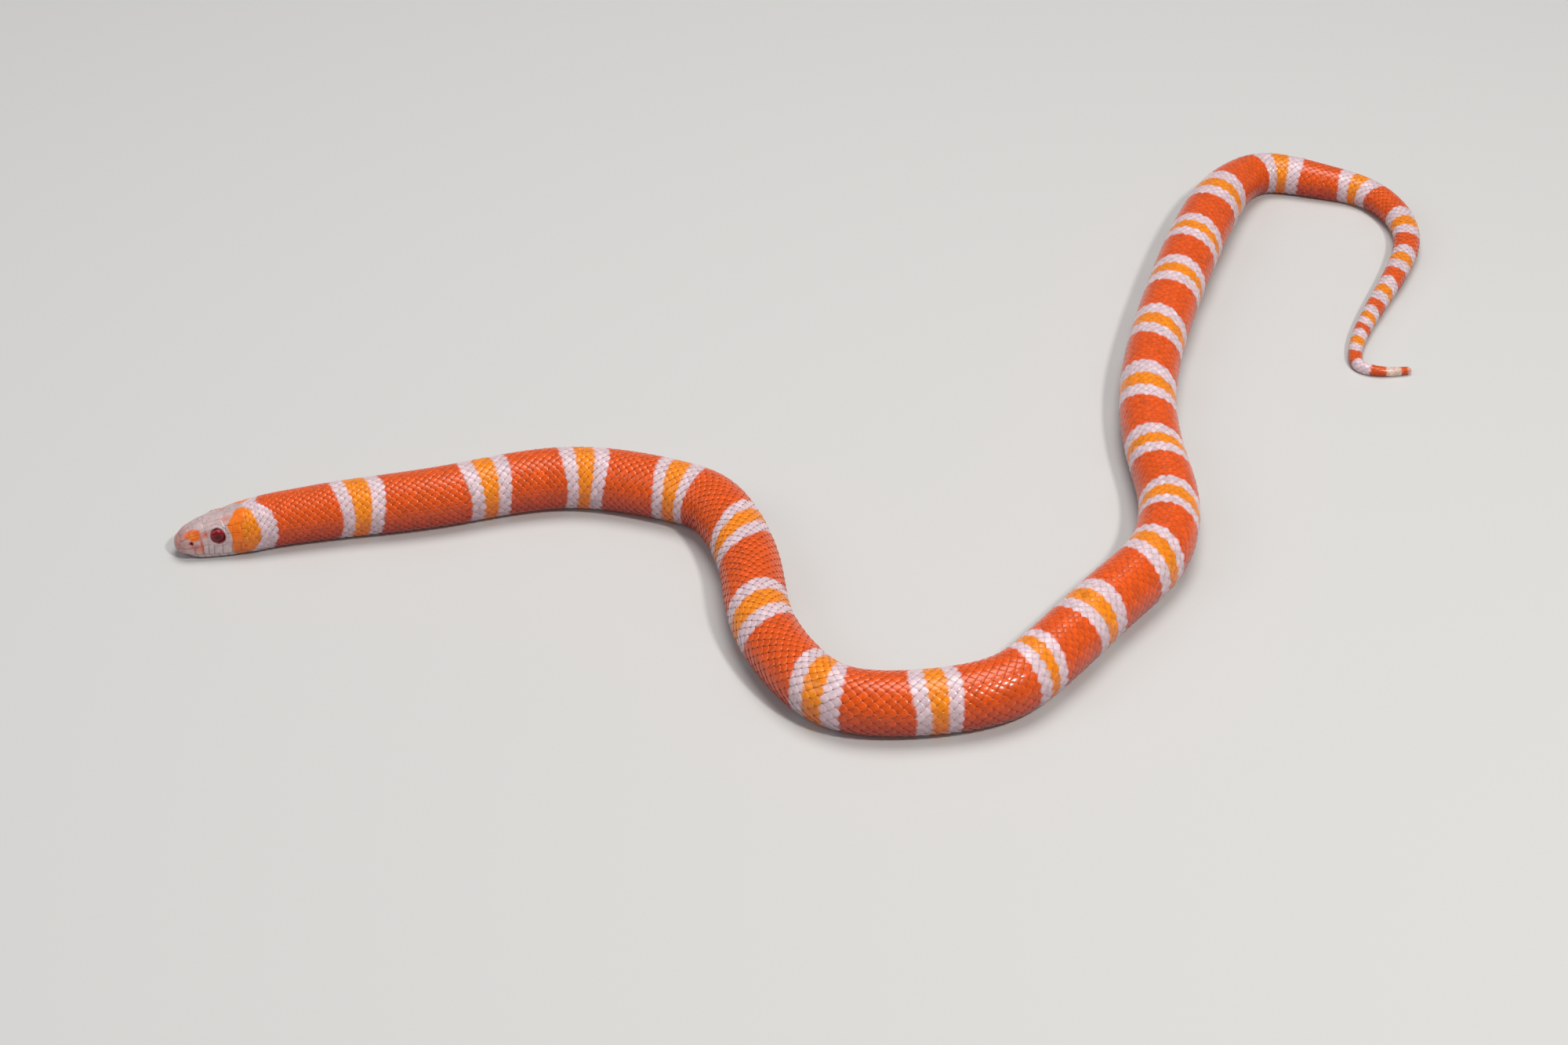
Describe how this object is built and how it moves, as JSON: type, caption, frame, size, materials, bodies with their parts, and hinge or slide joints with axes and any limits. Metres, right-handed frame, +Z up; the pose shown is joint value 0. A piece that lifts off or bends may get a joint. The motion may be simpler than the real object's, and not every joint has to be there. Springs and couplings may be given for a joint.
{
  "type": "milk snake model",
  "caption": "Life-size still model of an amelanistic milk snake lying in loose bends, head out straight, tail curled in, belly flat on the surface it lies on.",
  "frame": {"origin": "on the floor under the middle of the animal's bounding box", "axes": "+X runs from the head's side to the tail's side, the longest extent, +Y away from the camera of the picture, +Z up"},
  "size_m": [0.3588, 0.2692, 0.0156],
  "materials": {
    "body_scales": "smooth glossy scales, red-orange with rings of white, yellow-orange and white",
    "head_plates": "smooth translucent white plates with orange patches on the snout and temples",
    "eye_lens": "clear wet gloss over a dark red eye"
  },
  "bodies": {
    "root": {"cranium": "head_plates", "lower_jaw": "head_plates", "eye_left": "eye_lens", "eye_right": "eye_lens", "neck": "body_scales", "torso_1": "body_scales", "torso_2": "body_scales", "torso_3": "body_scales", "torso_4": "body_scales", "torso_5": "body_scales", "torso_6": "body_scales", "torso_7": "body_scales", "torso_8": "body_scales", "tail_1": "body_scales", "tail_2": "body_scales", "tail_3": "body_scales", "tail_tip": "body_scales"}
  },
  "joints": []
}
